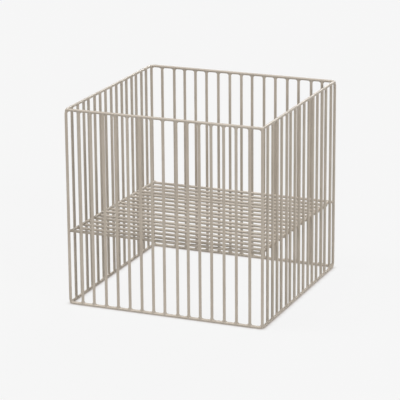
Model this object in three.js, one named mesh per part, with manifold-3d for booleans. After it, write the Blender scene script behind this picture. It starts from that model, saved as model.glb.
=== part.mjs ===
// Square wire basket with an open bottom and a raised wire shelf.
// Millimetres, +Z up, +Y away from the front, origin on the floor under the middle of the basket.
import * as THREE from "three";
import { mergeVertices } from "three/addons/utils/BufferGeometryUtils.js";
import Module from "manifold-3d";

// Driving dimensions
const basketWidth = 300; // outside, left to right
const basketDepth = 300; // outside, front to back
const basketHeight = 290; // floor to the top of the top ring
const wireDiameter = 4.1; // every piece is cut from the same wire, measured across its flats
const baysAcross = 16; // spaces between the bars of the front and of the back
const baysDeep = 16; // spaces between the bars of the left and of the right, and between the shelf wires
const shelfHeight = 109; // floor to the middle of the front shelf wire
const shelfFall = 5; // how far the back shelf wire lies below the front one
const railSetDown = 2.8; // how deep the shelf wires are pressed into the underside of the rails
const weldGap = 0.3; // root gap at every welded joint between two pieces
const wireFacets = 12; // flat sides of a wire, with one facing along each axis
const cornerFacets = 3; // flats that round the outside of each ring corner

// Powder coat, the same on every piece
const coat = { color: 0xb3a797, roughness: 0.55, metalness: 0.1 };

// Places worked out from the driving dimensions
const wireRadius = wireDiameter / 2;
const facetAngle = (2 * Math.PI) / wireFacets;
const acrossCorners = 1 / Math.cos(facetAngle / 2); // corner radius of a section over its flat radius
const sideX = basketWidth / 2 - wireRadius;
const sideY = basketDepth / 2 - wireRadius;
const pitchAcross = (2 * sideX) / baysAcross;
const pitchDeep = (2 * sideY) / baysDeep;
const uprightBottom = wireDiameter + weldGap;
const uprightTop = basketHeight - wireDiameter - weldGap;
const uprightLength = uprightTop - uprightBottom;
const uprightMiddle = (uprightBottom + uprightTop) / 2;
const seatedWireStep = wireDiameter + weldGap; // axis to axis of two wires that lie against each other
const shelfEdgeY = sideY - seatedWireStep;
const shelfPitch = (2 * shelfEdgeY) / baysDeep;
const railX = sideX - seatedWireStep;
const railSlope = Math.atan2(-shelfFall, 2 * shelfEdgeY);
const railLength = (2 * shelfEdgeY + wireDiameter) / Math.cos(railSlope);

const shelfLevel = (y) => shelfHeight - (shelfFall * (y + shelfEdgeY)) / (2 * shelfEdgeY);

const wasm = await Module();
wasm.setup();

const basket = new THREE.Group();

function addPiece(name, geometry, place = [0, 0, 0]) {
  const piece = new THREE.Mesh(geometry, new THREE.MeshStandardMaterial(coat));
  piece.name = name;
  piece.position.set(...place);
  basket.add(piece);
}

// A straight length of wire, centred on its own middle, with flats facing along the axes
function straightWire(length, axis, diameter = wireDiameter) {
  const radius = (diameter / 2) * acrossCorners;
  const wire = new THREE.CylinderGeometry(radius, radius, length, wireFacets, 1, false, facetAngle / 2);
  if (axis === "x") wire.rotateZ(Math.PI / 2);
  if (axis === "z") wire.rotateX(Math.PI / 2);
  return wire;
}

// Ring: the wire's section carried round a square, mitred inside and rounded outside each corner
function ringSection() {
  const radius = wireRadius * acrossCorners;
  return Array.from({ length: wireFacets }, (_, i) => {
    const angle = (i + 0.5) * facetAngle;
    return { out: radius * Math.cos(angle), up: radius * Math.sin(angle) };
  });
}

function ringStations(level) {
  const section = ringSection();
  const corners = [
    { x: 1, y: -1, from: -Math.PI / 2 },
    { x: 1, y: 1, from: 0 },
    { x: -1, y: 1, from: Math.PI / 2 },
    { x: -1, y: -1, from: Math.PI },
  ];
  const stations = [];
  for (const corner of corners) {
    for (let step = 0; step <= cornerFacets; step += 1) {
      const turn = corner.from + (step / cornerFacets) * (Math.PI / 2);
      stations.push(
        section.map(({ out, up }) => {
          const reachX = out > 0 ? out * Math.cos(turn) : out * corner.x;
          const reachY = out > 0 ? out * Math.sin(turn) : out * corner.y;
          return new THREE.Vector3(corner.x * sideX + reachX, corner.y * sideY + reachY, level + up);
        }),
      );
    }
  }
  return stations;
}

function squareRing(level) {
  const stations = ringStations(level);
  const points = [];
  const addTriangle = (a, b, c) => {
    const isFlat = a.equals(b) || b.equals(c) || c.equals(a);
    if (!isFlat) points.push(a, b, c);
  };
  stations.forEach((here, k) => {
    const next = stations[(k + 1) % stations.length];
    here.forEach((point, i) => {
      const j = (i + 1) % wireFacets;
      addTriangle(point, next[i], next[j]);
      addTriangle(point, next[j], here[j]);
    });
  });
  const ring = mergeVertices(new THREE.BufferGeometry().setFromPoints(points));
  ring.computeVertexNormals();
  return ring;
}

// Joining and cutting of solids
function toSolid(geometry) {
  geometry.deleteAttribute("normal");
  geometry.deleteAttribute("uv");
  const merged = mergeVertices(geometry);
  return new wasm.Manifold(
    new wasm.Mesh({
      numProp: 3,
      vertProperties: merged.attributes.position.array,
      triVerts: Uint32Array.from(merged.index.array),
    }),
  );
}

function toGeometry(solid) {
  const mesh = solid.getMesh();
  const geometry = new THREE.BufferGeometry();
  geometry.setAttribute("position", new THREE.BufferAttribute(mesh.vertProperties, 3));
  geometry.setIndex(new THREE.BufferAttribute(mesh.triVerts, 1));
  geometry.computeVertexNormals();
  return geometry;
}

// Side rib: a left and a right upright with the shelf wire that is welded to both, in line or at their flank
function sideRib(uprightY, wireY) {
  const left = straightWire(uprightLength, "z").translate(-sideX, uprightY, uprightMiddle);
  const right = straightWire(uprightLength, "z").translate(sideX, uprightY, uprightMiddle);
  const shelfWire = straightWire(2 * sideX, "x").translate(0, wireY, shelfLevel(wireY));
  return toGeometry(toSolid(left).add(toSolid(right)).add(toSolid(shelfWire)));
}

// Shelf rail: a wire with a seat in its underside for each shelf wire that it is pressed on to
function shelfRail(x, shelfWireYs) {
  const rail = straightWire(railLength, "y").rotateX(railSlope);
  let solid = toSolid(rail.translate(x, 0, shelfLevel(0) + wireDiameter - railSetDown));
  for (const y of shelfWireYs) {
    const seat = straightWire(2 * wireDiameter, "x", wireDiameter + 2 * weldGap);
    solid = solid.subtract(toSolid(seat.translate(x, y, shelfLevel(y))));
  }
  return toGeometry(solid);
}

const counted = (name, i) => `${name}_${String(i).padStart(2, "0")}`;

// Bottom and top rings
addPiece("bottom_ring", squareRing(wireRadius));
addPiece("top_ring", squareRing(basketHeight - wireRadius));

// Corner posts
for (const [depthName, y] of [["front", -sideY], ["back", sideY]]) {
  for (const [sideName, x] of [["left", -sideX], ["right", sideX]]) {
    addPiece(`corner_post_${depthName}_${sideName}`, straightWire(uprightLength, "z"), [x, y, uprightMiddle]);
  }
}

// Front and back uprights, numbered from the left
for (let i = 1; i < baysAcross; i += 1) {
  const x = -sideX + i * pitchAcross;
  addPiece(counted("front_upright", i), straightWire(uprightLength, "z"), [x, -sideY, uprightMiddle]);
  addPiece(counted("back_upright", i), straightWire(uprightLength, "z"), [x, sideY, uprightMiddle]);
}

// Side ribs, numbered from the front, with the shelf wires spaced evenly between the two edge wires
const shelfWireYs = Array.from({ length: baysDeep + 1 }, (_, i) => -shelfEdgeY + i * shelfPitch);
for (let i = 1; i < baysDeep; i += 1) {
  addPiece(counted("side_rib", i), sideRib(-sideY + i * pitchDeep, shelfWireYs[i]));
}

// Shelf edge wires, against the inside of the front and the back uprights
addPiece("shelf_front_wire", straightWire(2 * sideX, "x"), [0, -shelfEdgeY, shelfLevel(-shelfEdgeY)]);
addPiece("shelf_back_wire", straightWire(2 * sideX, "x"), [0, shelfEdgeY, shelfLevel(shelfEdgeY)]);

// Shelf rails, against the inside of the side uprights and over the ends of the shelf wires
addPiece("shelf_left_rail", shelfRail(-railX, shelfWireYs));
addPiece("shelf_right_rail", shelfRail(railX, shelfWireYs));

export default basket;
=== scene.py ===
# Square wire basket with an open bottom and a raised wire shelf, welded and powder coated.
# Metres, +Z up, +Y from the front to the back, origin on the floor under the middle.
import math

import bmesh
import bpy
from mathutils import Matrix, Vector


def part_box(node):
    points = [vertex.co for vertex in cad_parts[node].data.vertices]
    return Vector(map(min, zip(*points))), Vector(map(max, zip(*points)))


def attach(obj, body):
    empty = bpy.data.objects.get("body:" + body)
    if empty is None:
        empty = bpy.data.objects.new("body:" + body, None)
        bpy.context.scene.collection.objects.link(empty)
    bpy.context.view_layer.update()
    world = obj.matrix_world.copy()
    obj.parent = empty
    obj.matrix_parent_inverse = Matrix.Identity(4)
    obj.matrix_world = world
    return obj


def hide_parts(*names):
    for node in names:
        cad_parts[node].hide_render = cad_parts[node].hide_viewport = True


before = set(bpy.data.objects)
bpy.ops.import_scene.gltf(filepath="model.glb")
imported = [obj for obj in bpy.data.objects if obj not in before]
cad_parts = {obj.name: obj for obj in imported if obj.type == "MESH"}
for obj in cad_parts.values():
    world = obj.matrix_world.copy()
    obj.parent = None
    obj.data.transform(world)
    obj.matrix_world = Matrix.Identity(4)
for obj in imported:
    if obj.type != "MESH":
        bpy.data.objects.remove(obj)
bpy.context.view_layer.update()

# Bottom ring
# Four lengths of round steel wire, mitred and butt-welded into a square. The outsides of the corners
# are ground round and a smooth bead stays in each crotch. The basket stands on this ring alone.
ring_low, ring_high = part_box("bottom_ring")
wire_radius = (ring_high.z - ring_low.z) / 2
ring_x = ring_high.x - wire_radius
ring_y = ring_high.y - wire_radius
bottom_level = ring_low.z + wire_radius
top_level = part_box("top_ring")[1].z - wire_radius
wire_sides = 24
bead_radius = 0.0032
bead_steps = 6
bead_reach = wire_radius + bead_radius
run_steps = 4
corner_ease = 0.0006
corner_run = 0.005
join_distance = 1e-6
crease_angle = math.radians(50)
coat_dark = (0.418, 0.365, 0.302, 1)
coat_light = (0.472, 0.417, 0.352, 1)


def powder_coat():
    """Satin powder coat: a cloudy tone with fine specks, uneven sheen and a slight orange peel."""
    coat = bpy.data.materials.new("greige_powder_coat")
    coat.use_nodes = True
    nodes, links = coat.node_tree.nodes, coat.node_tree.links
    shader = nodes["Principled BSDF"]
    shader.inputs["Metallic"].default_value = 0.0
    shader.inputs["IOR"].default_value = 1.5
    place = nodes.new("ShaderNodeTexCoord")

    cloud = nodes.new("ShaderNodeTexNoise")
    cloud.inputs["Scale"].default_value = 22.0
    cloud.inputs["Detail"].default_value = 4.0
    links.new(place.outputs["Object"], cloud.inputs["Vector"])
    tone = nodes.new("ShaderNodeValToRGB")
    tone.color_ramp.elements[0].position = 0.32
    tone.color_ramp.elements[0].color = coat_dark
    tone.color_ramp.elements[1].position = 0.68
    tone.color_ramp.elements[1].color = coat_light
    links.new(cloud.outputs["Fac"], tone.inputs["Fac"])

    grain = nodes.new("ShaderNodeTexNoise")
    grain.inputs["Scale"].default_value = 2600.0
    grain.inputs["Detail"].default_value = 2.0
    links.new(place.outputs["Object"], grain.inputs["Vector"])
    speck = nodes.new("ShaderNodeMapRange")
    speck.inputs["From Min"].default_value = 0.25
    speck.inputs["From Max"].default_value = 0.75
    speck.inputs["To Min"].default_value = 0.93
    speck.inputs["To Max"].default_value = 1.05
    links.new(grain.outputs["Fac"], speck.inputs["Value"])
    specked = nodes.new("ShaderNodeVectorMath")
    specked.operation = "SCALE"
    links.new(tone.outputs["Color"], specked.inputs[0])
    links.new(speck.outputs["Result"], specked.inputs["Scale"])
    links.new(specked.outputs["Vector"], shader.inputs["Base Color"])

    sheen = nodes.new("ShaderNodeMapRange")
    sheen.inputs["From Min"].default_value = 0.3
    sheen.inputs["From Max"].default_value = 0.7
    sheen.inputs["To Min"].default_value = 0.42
    sheen.inputs["To Max"].default_value = 0.54
    links.new(cloud.outputs["Fac"], sheen.inputs["Value"])
    links.new(sheen.outputs["Result"], shader.inputs["Roughness"])

    peel = nodes.new("ShaderNodeTexNoise")
    peel.inputs["Scale"].default_value = 1100.0
    peel.inputs["Detail"].default_value = 2.5
    links.new(place.outputs["Object"], peel.inputs["Vector"])
    bump = nodes.new("ShaderNodeBump")
    bump.inputs["Strength"].default_value = 0.3
    bump.inputs["Distance"].default_value = 0.00012
    links.new(peel.outputs["Fac"], bump.inputs["Height"])
    links.new(bump.outputs["Normal"], shader.inputs["Normal"])
    return coat


coat = powder_coat()


def wire_mesh(name, points, faces):
    """A closed, smooth-shaded, coated mesh."""
    shape = bmesh.new()
    corners = [shape.verts.new(point) for point in points]
    for face in faces:
        shape.faces.new([corners[i] for i in face])
    bmesh.ops.remove_doubles(shape, verts=shape.verts, dist=join_distance)
    bmesh.ops.recalc_face_normals(shape, faces=shape.faces)
    mesh = bpy.data.meshes.new(name)
    shape.to_mesh(mesh)
    shape.free()
    mesh.shade_smooth()
    mesh.set_sharp_from_angle(angle=crease_angle)
    mesh.materials.append(coat)
    return mesh


def placed(name, mesh, nodes):
    """Puts a piece into the basket in place of its CAD nodes."""
    piece = bpy.data.objects.new(name, mesh)
    bpy.context.scene.collection.objects.link(piece)
    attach(piece, "root")
    if nodes:
        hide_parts(*nodes)


def eased(point):
    """The point, drawn in a little near a ring corner, where posts and ring turn into each other."""
    x, y = math.copysign(1, point.x), math.copysign(1, point.y)
    z = math.copysign(1, point.z - (bottom_level + top_level) / 2)
    corner = Vector((x * ring_x, y * ring_y, top_level if z > 0 else bottom_level))
    away = max(0, (point - corner).length - wire_radius)
    return point - corner_ease * max(0, 1 - away / corner_run) ** 2 * Vector((x, y, z))


def ring_corner(inward, up):
    """One lengthwise line of the wire round a corner: along the first side, round, along the second."""
    turn_in = []
    for step in range(bead_steps + 1):
        share = step / bead_steps
        if inward > 0:
            middle = bead_reach * Vector((inward, inward, up))
            towards = Vector((0, -inward, -up)).slerp(Vector((-inward, 0, -up)), share)
            turn_in.append(middle + bead_radius * towards)
        else:
            turn = share * math.pi / 2
            out = wire_radius * inward
            turn_in.append(Vector((out * math.sin(turn), out * math.cos(turn), wire_radius * up)))
    first = Vector((2 * bead_reach, wire_radius * inward, wire_radius * up))
    last = Vector((wire_radius * inward, 2 * bead_reach, wire_radius * up))
    run = range(run_steps)
    path = [first.lerp(turn_in[0], step / run_steps) for step in run] + turn_in
    return path + [turn_in[-1].lerp(last, (step + 1) / run_steps) for step in run]


def dressed_ring(name, level):
    """A square ring of wire at this level, its four corners joined by straight sides."""
    points, faces = [], []
    for k in range(wire_sides):
        angle = (k + 0.5) * 2 * math.pi / wire_sides
        path = ring_corner(math.cos(angle), math.sin(angle))
        for x, y, line in ((1, -1, path), (1, 1, path[::-1]), (-1, 1, path), (-1, -1, path[::-1])):
            points += [eased(Vector((x * (ring_x - u), y * (ring_y - v), level + w))) for u, v, w in line]
    stations = len(points) // wire_sides
    for k in range(wire_sides):
        here, beside = k * stations, (k + 1) % wire_sides * stations
        for j in range(stations):
            ahead = (j + 1) % stations
            faces.append((here + j, here + ahead, beside + ahead, beside + j))
    return wire_mesh(name, points, faces)


placed("bottom_ring_wire", dressed_ring("bottom_ring_wire", bottom_level), ["bottom_ring"])

# Top ring
# The same square of wire again, welded on top of the posts and uprights. It is the rim that
# hands and light meet first, so its upper side is the brightest line of the basket.
placed("top_ring_wire", dressed_ring("top_ring_wire", top_level), ["top_ring"])

# Corner posts
# Four straight wires, butt-welded between the corners of the two rings. The bead runs from the post
# on to both sides of the ring, and outside the corner the post flows straight into the ground ring.
post_height = top_level - bottom_level
half_step = math.pi / wire_sides
post_inset = 0.999
post_dip = math.radians(4)


def post_column(angle, fan):
    """Points up one side of the post from the ring's middle. The ring's two sides run along +u and +v."""
    u, v = math.cos(angle), math.sin(angle)
    post_side = Vector((-u, -v, 0))
    column = []
    for step in range(bead_steps, -1, -1):
        share = step / bead_steps
        if u > 0 and u >= v:
            middle, ring_side = Vector((u, v, u)), Vector((0, -v, -u))
        elif v > 0:
            middle, ring_side = Vector((u, v, v)), Vector((-u, 0, -v))
        else:
            dip = share * post_dip
            outer_side = Vector((u * math.cos(dip), v * math.cos(dip), -math.sin(dip)))
            column.append(post_inset * wire_radius * outer_side)
            continue
        towards = post_side.slerp(ring_side, share)
        if fan is not None and share > 0:
            towards = towards.slerp(post_side.slerp(Vector((-u, 0, -v)), share), fan)
        column.append(bead_reach * middle + bead_radius * towards)
    bead_end, straight = column[-1], Vector((wire_radius * u, wire_radius * v, 2 * bead_reach))
    return column + [bead_end.lerp(straight, (step + 1) / run_steps) for step in range(run_steps)]


def corner_post(name, x, y):
    """The post in one corner. Inside the corner a fan of columns turns the bead from side to side."""
    angles = [(-math.pi / 2 + half_step + 2 * half_step * i, None) for i in range(wire_sides)]
    angles += [(math.pi / 4, fan / bead_steps) for fan in range(bead_steps + 1)]
    angles.sort(key=lambda pair: (round(pair[0], 6), pair[1] or 0))
    points, faces = [], []
    for angle, fan in angles:
        lower = post_column(angle, fan)
        upper = [Vector((p.x, p.y, post_height - p.z)) for p in reversed(lower)]
        points += lower + upper
    rows = len(points) // len(angles)
    points += [Vector((0, 0, 0)), Vector((0, 0, post_height))]
    points = [eased(Vector((x * (ring_x - p.x), y * (ring_y - p.y), bottom_level + p.z))) for p in points]
    foot, head = len(points) - 2, len(points) - 1
    for k in range(len(angles)):
        here, beside = k * rows, (k + 1) % len(angles) * rows
        faces += [(here + j, here + j + 1, beside + j + 1, beside + j) for j in range(rows - 1)]
        faces += [(foot, here, beside), (head, beside + rows - 1, here + rows - 1)]
    return wire_mesh(name, points, faces)


for depth, y in (("front", -1), ("back", 1)):
    for side, x in (("left", -1), ("right", 1)):
        name = f"corner_post_{depth}_{side}"
        placed(f"{name}_wire", corner_post(f"{name}_wire", x, y), [name])

# Front and back uprights
# Straight wires cut to one length in a stop and butt-welded between the rings in a spacing jig.
# At both ends a smooth bead fills the two crotches along the ring. The jig leaves each wire a little play.


def upright_wire(name):
    """An upright from ring middle to ring middle, with beads along a ring side that runs along X."""
    points, faces = [], []
    for k in range(wire_sides):
        angle = half_step + 2 * half_step * k
        u, v = math.cos(angle), math.sin(angle)
        lower = []
        for step in range(bead_steps, -1, -1):
            towards = Vector((-u, -v, 0)).slerp(Vector((0, -v, -abs(u))), step / bead_steps)
            lower.append(bead_reach * Vector((u, v, abs(u))) + bead_radius * towards)
        lower.append(Vector((wire_radius * u, wire_radius * v, 2 * bead_reach)))
        points += lower + [Vector((p.x, p.y, post_height - p.z)) for p in reversed(lower)]
    rows = len(points) // wire_sides
    foot, head = len(points), len(points) + 1
    points += [(0, 0, 0), (0, 0, post_height)]
    for k in range(wire_sides):
        here, beside = k * rows, (k + 1) % wire_sides * rows
        faces += [(here + j, here + j + 1, beside + j + 1, beside + j) for j in range(rows - 1)]
        faces += [(foot, here, beside), (head, beside + rows - 1, here + rows - 1)]
    return wire_mesh(name, points, faces)


def row_of_wires():
    """Stands like wires in a straight row, each strayed from its even place by up to the wander."""
    tree = bpy.data.node_groups.new("row_of_wires", "GeometryNodeTree")
    for name, kind in (
        ("Wire", "NodeSocketGeometry"),
        ("Wires", "NodeSocketInt"),
        ("First", "NodeSocketVector"),
        ("Step", "NodeSocketVector"),
        ("Wander", "NodeSocketVector"),
        ("Seed", "NodeSocketInt"),
        ("Finish", "NodeSocketMaterial"),
    ):
        tree.interface.new_socket(name, in_out="INPUT", socket_type=kind)
    tree.interface.new_socket("Row", in_out="OUTPUT", socket_type="NodeSocketGeometry")
    given = tree.nodes.new("NodeGroupInput")
    line = tree.nodes.new("GeometryNodeMeshLine")
    line.mode = "OFFSET"
    tree.links.new(given.outputs["Wires"], line.inputs["Count"])
    tree.links.new(given.outputs["First"], line.inputs["Start Location"])
    tree.links.new(given.outputs["Step"], line.inputs["Offset"])
    opposite = tree.nodes.new("ShaderNodeVectorMath")
    opposite.operation = "SCALE"
    opposite.inputs["Scale"].default_value = -1.0
    tree.links.new(given.outputs["Wander"], opposite.inputs[0])
    stray = tree.nodes.new("FunctionNodeRandomValue")
    stray.data_type = "FLOAT_VECTOR"
    tree.links.new(opposite.outputs["Vector"], stray.inputs["Min"])
    tree.links.new(given.outputs["Wander"], stray.inputs["Max"])
    tree.links.new(given.outputs["Seed"], stray.inputs["Seed"])
    jig = tree.nodes.new("GeometryNodeSetPosition")
    tree.links.new(line.outputs["Mesh"], jig.inputs["Geometry"])
    tree.links.new(stray.outputs["Value"], jig.inputs["Offset"])
    stand = tree.nodes.new("GeometryNodeInstanceOnPoints")
    tree.links.new(jig.outputs["Geometry"], stand.inputs["Points"])
    tree.links.new(given.outputs["Wire"], stand.inputs["Instance"])
    real = tree.nodes.new("GeometryNodeRealizeInstances")
    tree.links.new(stand.outputs["Instances"], real.inputs["Geometry"])
    finish = tree.nodes.new("GeometryNodeSetMaterial")
    tree.links.new(real.outputs["Geometry"], finish.inputs["Geometry"])
    tree.links.new(given.outputs["Finish"], finish.inputs["Material"])
    result = tree.nodes.new("NodeGroupOutput")
    tree.links.new(finish.outputs["Geometry"], result.inputs["Row"])
    return tree


row_tree = row_of_wires()


def row_mesh(name, wire, count, first, step, wander, seed):
    """The row that the tree makes of this wire, as a plain mesh."""
    maker = bpy.data.objects.new(f"{name}_maker", wire)
    bpy.context.scene.collection.objects.link(maker)
    row = maker.modifiers.new("row", "NODES")
    row.node_group = row_tree
    sockets = [item for item in row_tree.interface.items_tree if item.in_out == "INPUT"]
    inputs = {socket.name: socket.identifier for socket in sockets}
    row[inputs["Wires"]] = count
    row[inputs["First"]] = first
    row[inputs["Step"]] = step
    row[inputs["Wander"]] = wander
    row[inputs["Seed"]] = seed
    row[inputs["Finish"]] = coat
    scene_now = bpy.context.evaluated_depsgraph_get()
    mesh = bpy.data.meshes.new_from_object(maker.evaluated_get(scene_now))
    mesh.name = name
    bpy.data.objects.remove(maker)
    return mesh


def middle_of(node):
    low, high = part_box(node)
    return (low + high) / 2


def node_row(name):
    return sorted(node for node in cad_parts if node.startswith(name))


row_play = {"front": (0.0022, 0, 0), "back": (0.0015, 0, 0)}
row_seed = {"front": 38297, "back": 74192}
cross_upright = upright_wire("upright_on_a_crosswise_side")
for depth in ("front", "back"):
    nodes = node_row(f"{depth}_upright_")
    first, last = middle_of(nodes[0]), middle_of(nodes[-1])
    first.z = last.z = bottom_level
    step = (last - first) / (len(nodes) - 1)
    name, play, seed = f"{depth}_uprights", row_play[depth], row_seed[depth]
    placed(name, row_mesh(name, cross_upright, len(nodes), first, step, play, seed), nodes)

# Left and right uprights
# The same cut wires, welded between the sides of the rings with the bead turned to run along them.
# They are jigged in equal spaces from corner to corner, like the front and back ones.
ribs = node_row("side_rib_")
side_step = 2 * ring_y / (len(ribs) + 1)
row_play.update(left=(0, 0.0022, 0), right=(0, 0.0022, 0))
row_seed.update(left=174192, right=174262)
length_upright = upright_wire("upright_on_a_lengthwise_side")
length_upright.transform(Matrix.Rotation(math.pi / 2, 4, "Z"))
for side, x in (("left", -ring_x), ("right", ring_x)):
    start = Vector((x, side_step - ring_y, bottom_level))
    step = Vector((0, side_step, 0))
    name, play, seed = f"{side}_uprights", row_play[side], row_seed[side]
    placed(name, row_mesh(name, length_upright, len(ribs), start, step, play, seed), ribs)

# Shelf edge wires
# Two straight wires across the basket, laid against the inside of the front and the back uprights
# and spot-welded to each of them. The back one sits a little lower, so the shelf falls to the back.
cut_round = 0.0005
cut_steps = 3


def cut_wire(name, length):
    """A straight wire along X whose cut ends are softened by the coat."""
    profile = [(-length / 2, 0.0)]
    for step in range(cut_steps + 1):
        turn = step / cut_steps * math.pi / 2
        profile.append((
            -length / 2 + cut_round * (1 - math.cos(turn)),
            wire_radius - cut_round * (1 - math.sin(turn)),
        ))
    profile.append((-length / 2 + wire_radius, wire_radius))
    profile += [(-x, r) for x, r in reversed(profile)]
    points, faces = [], []
    for x, r in profile:
        for k in range(wire_sides):
            angle = half_step + 2 * half_step * k
            points.append((x, r * math.cos(angle), r * math.sin(angle)))
    for j in range(len(profile) - 1):
        for k in range(wire_sides):
            beside = (k + 1) % wire_sides
            a, b = j * wire_sides, (j + 1) * wire_sides
            faces.append((a + k, a + beside, b + beside, b + k))
    return wire_mesh(name, points, faces)


for depth in ("front", "back"):
    node = f"shelf_{depth}_wire"
    low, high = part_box(node)
    mesh = cut_wire(f"{node}_bar", high.x - low.x)
    mesh.transform(Matrix.Translation(middle_of(node)))
    placed(f"{node}_bar", mesh, [node])

# Inner shelf wires
# Straight wires across the basket in equal spaces from edge wire to edge wire. They are pressed
# up into the two rails and cut flush with the rails' outer sides. The gaps are over three wires wide.
front_edge, back_edge = middle_of("shelf_front_wire"), middle_of("shelf_back_wire")
shelf_step = (back_edge - front_edge) / (len(ribs) + 1)
shelf_seed = 17000
shelf_play = (0, 0.0008, 0.0006)
shelf_bar = cut_wire("shelf_bar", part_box("shelf_right_rail")[1].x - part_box("shelf_left_rail")[0].x)
start = front_edge + shelf_step
mesh = row_mesh("inner_shelf_wires", shelf_bar, len(ribs), start, shelf_step, shelf_play, shelf_seed)
placed("inner_shelf_wires", mesh, ribs)

# Shelf rails
# Two wires from front to back, spot-welded to the inside of the side uprights. The shelf wires are
# sunk deep into their undersides by the welding, and the rails carry the shelf's load to the sides.
shelf_slope = shelf_step.z / shelf_step.y
rail_tilt = math.atan(shelf_slope)
for side in ("left", "right"):
    node = f"shelf_{side}_rail"
    low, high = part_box(node)
    length = (high.y - low.y - 2 * wire_radius * abs(math.sin(rail_tilt))) / math.cos(rail_tilt)
    mesh = cut_wire(f"{node}_bar", length)
    mesh.transform(Matrix.Rotation(rail_tilt, 4, "X") @ Matrix.Rotation(math.pi / 2, 4, "Z"))
    rail_top = high.z + rail_tilt * (high.y - low.y) / 2
    middle = Vector(((low.x + high.x) / 2, (low.y + high.y) / 2, rail_top - wire_radius))
    mesh.transform(Matrix.Translation(middle))
    placed(f"{node}_bar", mesh, [node])

# Weld spots
# Small saddle-shaped beads where two crossing wires were pressed together and spot-welded. The coat
# closes the crotch between rails and uprights, edge wires and uprights, and rails and shelf wires.
spot_radius = 0.0004
spot_sides = 16
spot_steps = 3


def weld_spot(name, apart, first_axis, second_axis):
    """A bead round the crossing of two wires, one along each axis, whose middles lie that far apart."""
    reach, half = wire_radius + spot_radius, apart / 2
    swing = reach - half
    points, faces = [], []
    for k in range(spot_sides):
        turn = (k + 0.5) * 2 * math.pi / spot_sides
        w = -swing * math.cos(2 * turn)
        u = math.copysign(math.sqrt(max(0, reach**2 - (w + half) ** 2)), math.cos(turn))
        v = math.copysign(math.sqrt(max(0, reach**2 - (w - half) ** 2)), math.sin(turn))
        middle = Vector((u, v, w))
        to_first = (Vector((u, 0, half)) - middle).normalized()
        to_second = (Vector((0, v, -half)) - middle).normalized()
        for step in range(spot_steps + 1):
            points.append(middle + spot_radius * to_first.slerp(to_second, step / spot_steps))
    rows = spot_steps + 1
    above, below = len(points), len(points) + 1
    points += [Vector((0, 0, half)), Vector((0, 0, -half))]
    for k in range(spot_sides):
        here, beside = k * rows, (k + 1) % spot_sides * rows
        faces += [(here + j, here + j + 1, beside + j + 1, beside + j) for j in range(spot_steps)]
        faces += [(above, here, beside), (below, beside + spot_steps, here + spot_steps)]
    mesh = wire_mesh(name, points, faces)
    first, second = Vector(first_axis), Vector(second_axis)
    mesh.transform(Matrix((first, second, first.cross(second))).transposed().to_4x4())
    return mesh


rail_step = Vector((0, side_step, shelf_slope * side_step))
for side, x in (("left", -1), ("right", 1)):
    rail = middle_of(f"shelf_{side}_rail")
    spot = weld_spot(f"{side}_rail_spot", abs(x * ring_x - rail.x), (0, 0, 1), (0, -x, 0))
    start = Vector(((x * ring_x + rail.x) / 2, 0, rail.z)) - (len(ribs) - 1) / 2 * rail_step
    name, play, seed = f"{side}_rail_spots", row_play[side], row_seed[side]
    placed(name, row_mesh(name, spot, len(ribs), start, rail_step, play, seed), [])
    rise = rail.z - (front_edge.z + back_edge.z) / 2
    spot = weld_spot(f"{side}_seat_spot", rise, (0, 1, 0), (-1, 0, 0))
    start = front_edge + shelf_step + Vector((rail.x, 0, rise / 2))
    mesh = row_mesh(f"{side}_seat_spots", spot, len(ribs), start, shelf_step, shelf_play, shelf_seed)
    placed(f"{side}_seat_spots", mesh, [])
for depth, y in (("front", -1), ("back", 1)):
    edge = middle_of(f"shelf_{depth}_wire")
    nodes = node_row(f"{depth}_upright_")
    spot = weld_spot(f"{depth}_edge_spot", abs(y * ring_y - edge.y), (0, 0, 1), (y, 0, 0))
    start = Vector((middle_of(nodes[0]).x, (y * ring_y + edge.y) / 2, edge.z))
    step = Vector((middle_of(nodes[1]).x - middle_of(nodes[0]).x, 0, 0))
    name, play, seed = f"{depth}_edge_spots", row_play[depth], row_seed[depth]
    placed(name, row_mesh(name, spot, len(nodes), start, step, play, seed), [])

# Floor
# A sheet of pale paper under the basket. It is shown at its own even tone, with a painted contact shadow
# close to the bottom ring that holds a painted warm reflection of the coat, and a trace of the soft shadow
# that the basket throws.
pale = (0.93, 0.93, 0.93, 1)
paper_tone = (0.65, 0.65, 0.65, 1)
# Colour of the painted contact shadow, warm as a painted reflection of the coat.
painted_contact_shadow_tone = (0.52, 0.48, 0.45, 1)
painted_shadow_reach = 0.009
shadow_share = 0.05
floor_reach = 8


def seen_directly(tree):
    """One where a surface is looked at, mirrored or looked through, and zero where it only gives light."""
    path = tree.nodes.new("ShaderNodeLightPath")
    seen = path.outputs["Is Camera Ray"]
    for other in ("Is Glossy Ray", "Is Transmission Ray"):
        either = tree.nodes.new("ShaderNodeMath")
        either.operation = "MAXIMUM"
        tree.links.new(seen, either.inputs[0])
        tree.links.new(path.outputs[other], either.inputs[1])
        seen = either.outputs["Value"]
    return seen


floor_mesh = bpy.data.meshes.new("paper_floor")
floor_corners = [(x * floor_reach, y * floor_reach, 0) for x, y in ((-1, -1), (1, -1), (1, 1), (-1, 1))]
floor_mesh.from_pydata(floor_corners, [], [(0, 1, 2, 3)])
floor = bpy.data.objects.new("paper_floor", floor_mesh)
bpy.context.scene.collection.objects.link(floor)
paper = bpy.data.materials.new("pale_paper")
paper.use_nodes = True
nodes, links = paper.node_tree.nodes, paper.node_tree.links
nodes.clear()
matt = nodes.new("ShaderNodeBsdfDiffuse")
matt.inputs["Color"].default_value = paper_tone
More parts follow.
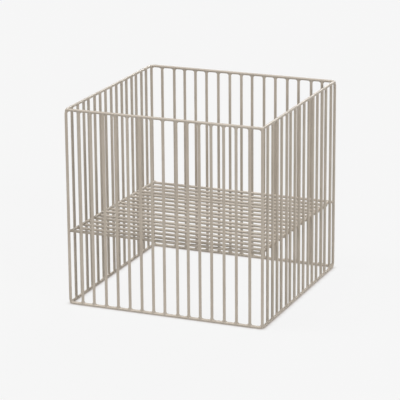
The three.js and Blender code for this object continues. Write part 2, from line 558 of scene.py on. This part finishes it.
# Painted contact shadow: an occlusion lookup darkens the paper's shown tone near the ring.
painted_shadow_lookup = nodes.new("ShaderNodeAmbientOcclusion")
painted_shadow_lookup.samples = 16
painted_shadow_lookup.inputs["Distance"].default_value = painted_shadow_reach
shade = nodes.new("ShaderNodeValToRGB")
shade.color_ramp.elements[0].position = 0.35
shade.color_ramp.elements[0].color = painted_contact_shadow_tone
shade.color_ramp.elements[1].position = 0.95
shade.color_ramp.elements[1].color = pale
links.new(painted_shadow_lookup.outputs["AO"], shade.inputs["Fac"])
glow = nodes.new("ShaderNodeEmission")
links.new(shade.outputs["Color"], glow.inputs["Color"])
share = nodes.new("ShaderNodeMath")
share.operation = "MULTIPLY"
share.inputs[1].default_value = 1 - shadow_share
links.new(seen_directly(paper.node_tree), share.inputs[0])
mix = nodes.new("ShaderNodeMixShader")
links.new(share.outputs["Value"], mix.inputs["Fac"])
links.new(matt.outputs["BSDF"], mix.inputs[1])
links.new(glow.outputs["Emission"], mix.inputs[2])
out = nodes.new("ShaderNodeOutputMaterial")
links.new(mix.outputs["Shader"], out.inputs["Surface"])
floor_mesh.materials.append(paper)

# Room
# A pale room beyond the paper, seen at the paper's tone. It gives hardly any light of its own.
room_light = (0.05, 0.05, 0.05, 1)
world = bpy.data.worlds.new("pale_room")
bpy.context.scene.world = world
world.use_nodes = True
room = world.node_tree.nodes["Background"]
tone = world.node_tree.nodes.new("ShaderNodeMix")
tone.data_type = "RGBA"
tone.inputs["A"].default_value = room_light
tone.inputs["B"].default_value = pale
world.node_tree.links.new(seen_directly(world.node_tree), tone.inputs["Factor"])
world.node_tree.links.new(tone.outputs["Result"], room.inputs["Color"])

# Lamps
# Soft boxes as in a small studio: one at each side in front, one behind the basket, one high above its
# left side and a weak one low in front.
lamp_spread = math.radians(18)
for name, turn, rise, strength in (
    ("left_lamp", -65, 26, 0.45),
    ("right_lamp", 65, 26, 1.7),
    ("back_lamp", 180, 26, 1.2),
    ("upper_left_lamp", -65, 65, 2.4),
    ("front_lamp", 0, 14, 0.32),
):
    turn, rise = math.radians(turn), math.radians(rise)
    lamp = bpy.data.lights.new(name, "SUN")
    lamp.energy = strength
    lamp.angle = lamp_spread
    lamp_object = bpy.data.objects.new(name, lamp)
    level = math.cos(rise)
    from_basket = Vector((math.sin(turn) * level, -math.cos(turn) * level, math.sin(rise)))
    lamp_object.rotation_euler = from_basket.to_track_quat("Z", "Y").to_euler()
    bpy.context.scene.collection.objects.link(lamp_object)

# Camera
# A long lens a little above the basket and to the right of its front.
camera_turn = math.radians(22.8074)
camera_rise = math.radians(16.4491)
camera_roll = math.radians(-0.4228)
camera_aim = Vector((-0.00382, -0.00721, 0.13238))
camera_distance = 3.1487
back = Vector((
    math.sin(camera_turn) * math.cos(camera_rise),
    -math.cos(camera_turn) * math.cos(camera_rise),
    math.sin(camera_rise),
))
right = Vector((math.cos(camera_turn), math.sin(camera_turn), 0))
up = back.cross(right)
rolled_right = right * math.cos(camera_roll) + up * math.sin(camera_roll)
rolled_up = up * math.cos(camera_roll) - right * math.sin(camera_roll)
lens = bpy.data.cameras.new("camera")
lens.sensor_width = 36
lens.lens = 194.4755
lens.clip_end = 50
camera = bpy.data.objects.new("camera", lens)
place = Matrix((rolled_right, rolled_up, back)).transposed().to_4x4()
place.translation = camera_aim + camera_distance * back
camera.matrix_world = place
bpy.context.scene.collection.objects.link(camera)
bpy.context.scene.camera = camera

bpy.context.scene.view_settings.view_transform = "Standard"
